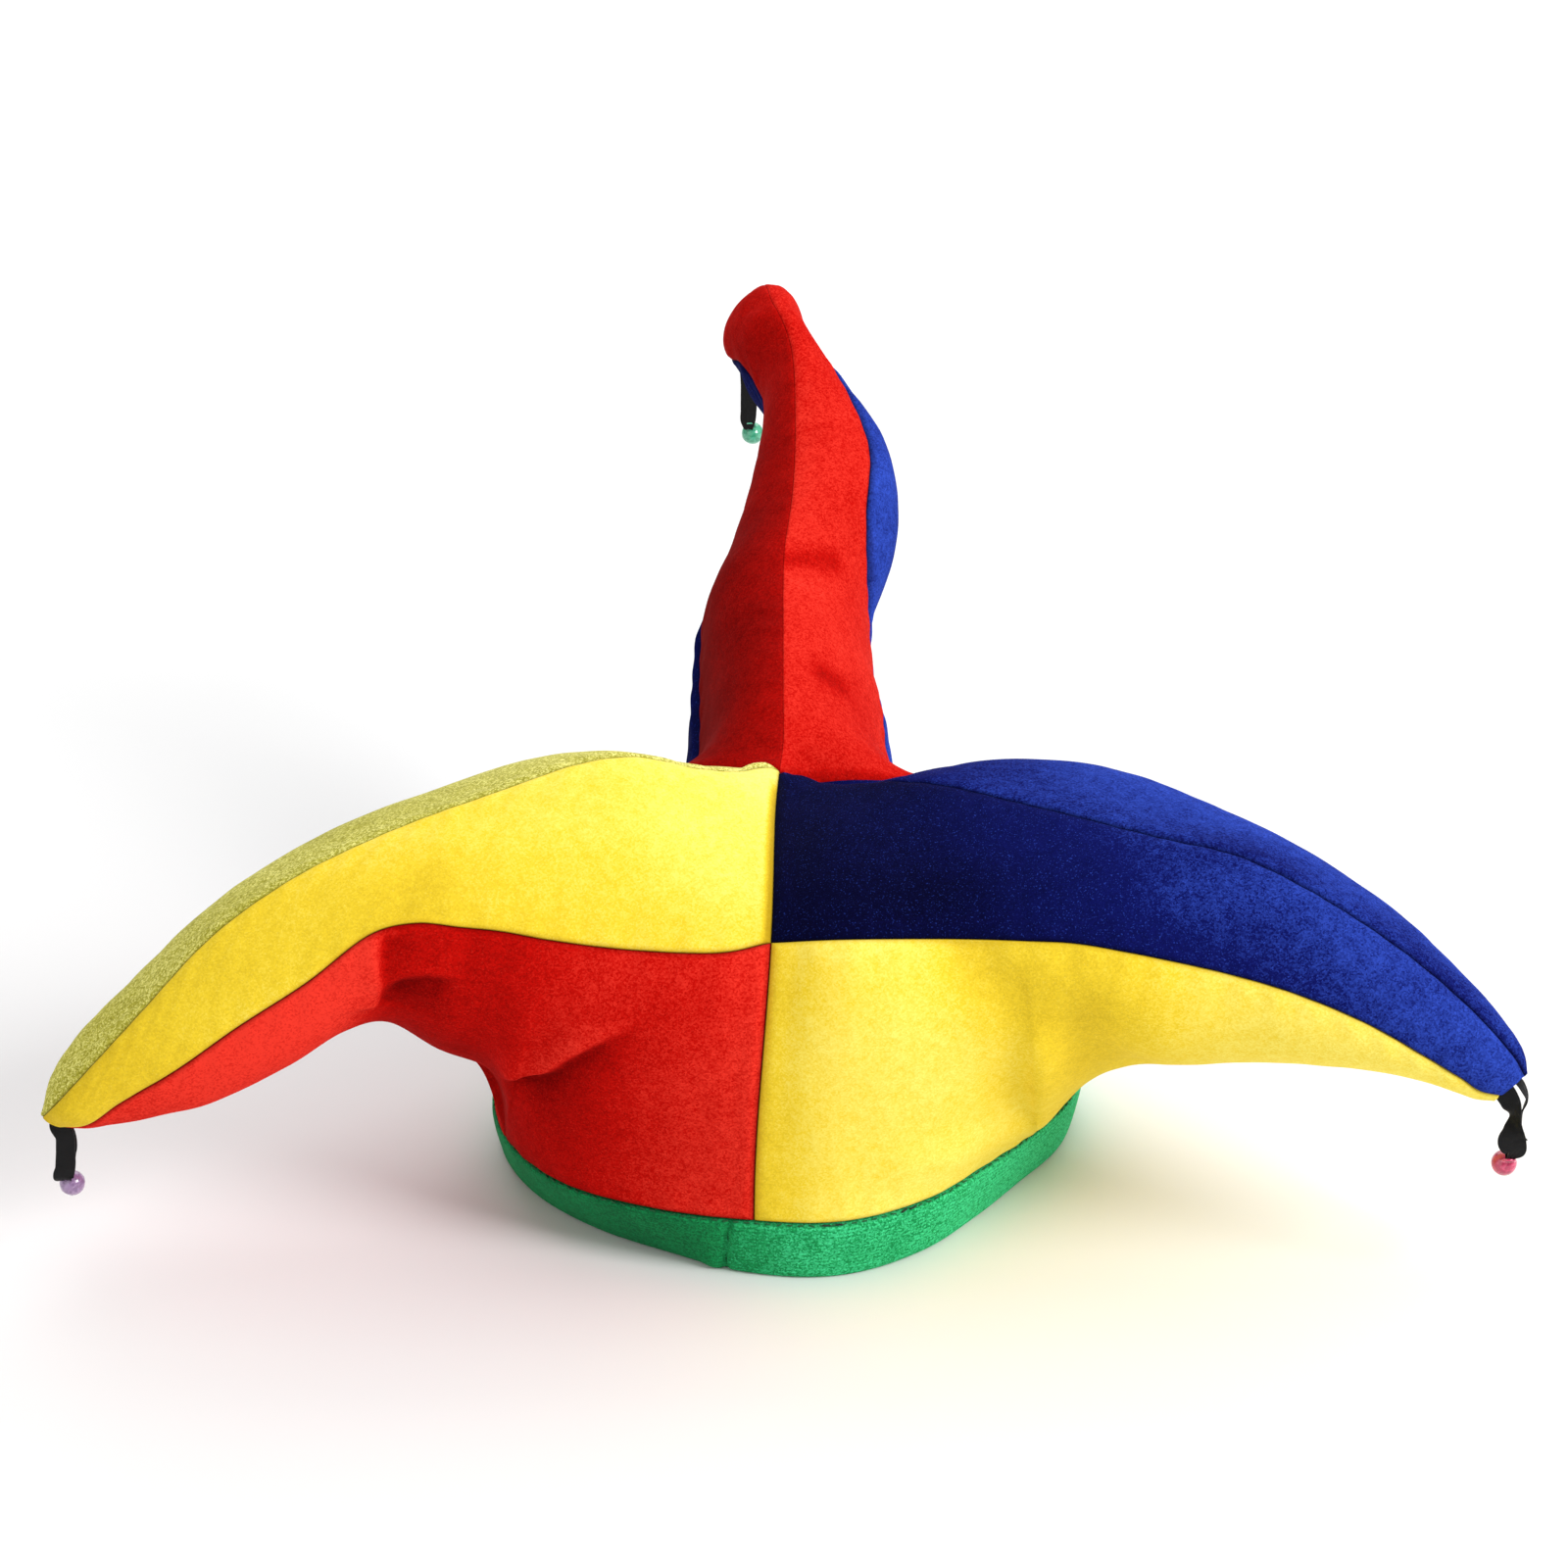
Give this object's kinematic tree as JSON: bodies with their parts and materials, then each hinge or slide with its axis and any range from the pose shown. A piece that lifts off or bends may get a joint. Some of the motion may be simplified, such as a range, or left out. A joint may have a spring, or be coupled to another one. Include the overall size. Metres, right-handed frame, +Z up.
{
  "type": "jester hat",
  "caption": "Soft jester hat with horns that curve out to both sides and to the back from a round crown, a folded band round the open rim, and a bell on a ribbon at each tip.",
  "frame": {"origin": "centre of the bounding box, at the height of the band's flat underside", "axes": "+Z up out of the crown, -Y to the front, +X to the right seen from the front"},
  "size_m": [0.4564, 0.3424, 0.2218],
  "materials": {
    "yellow_velour": "brushed velour",
    "red_velour": "brushed velour",
    "blue_velour": "brushed velour",
    "green_velour": "brushed velour",
    "black_ribbon": "satin",
    "lilac_enamel": "gloss enamel",
    "pink_enamel": "gloss enamel",
    "mint_enamel": "gloss enamel"
  },
  "bodies": {
    "root": {"brim_band": "green_velour", "left_horn_top_front": "yellow_velour", "left_horn_top_back": "yellow_velour", "left_lower_panel": "red_velour", "right_horn_top_front": "blue_velour", "right_horn_top_back": "blue_velour", "right_lower_panel": "yellow_velour", "back_horn_top_right": "red_velour", "back_horn_top_left": "red_velour", "back_lower_panel": "blue_velour", "ribbon_left": "black_ribbon", "ribbon_right": "black_ribbon", "ribbon_back": "black_ribbon", "bell_left": "lilac_enamel", "bell_right": "pink_enamel", "bell_back": "mint_enamel"}
  },
  "joints": []
}
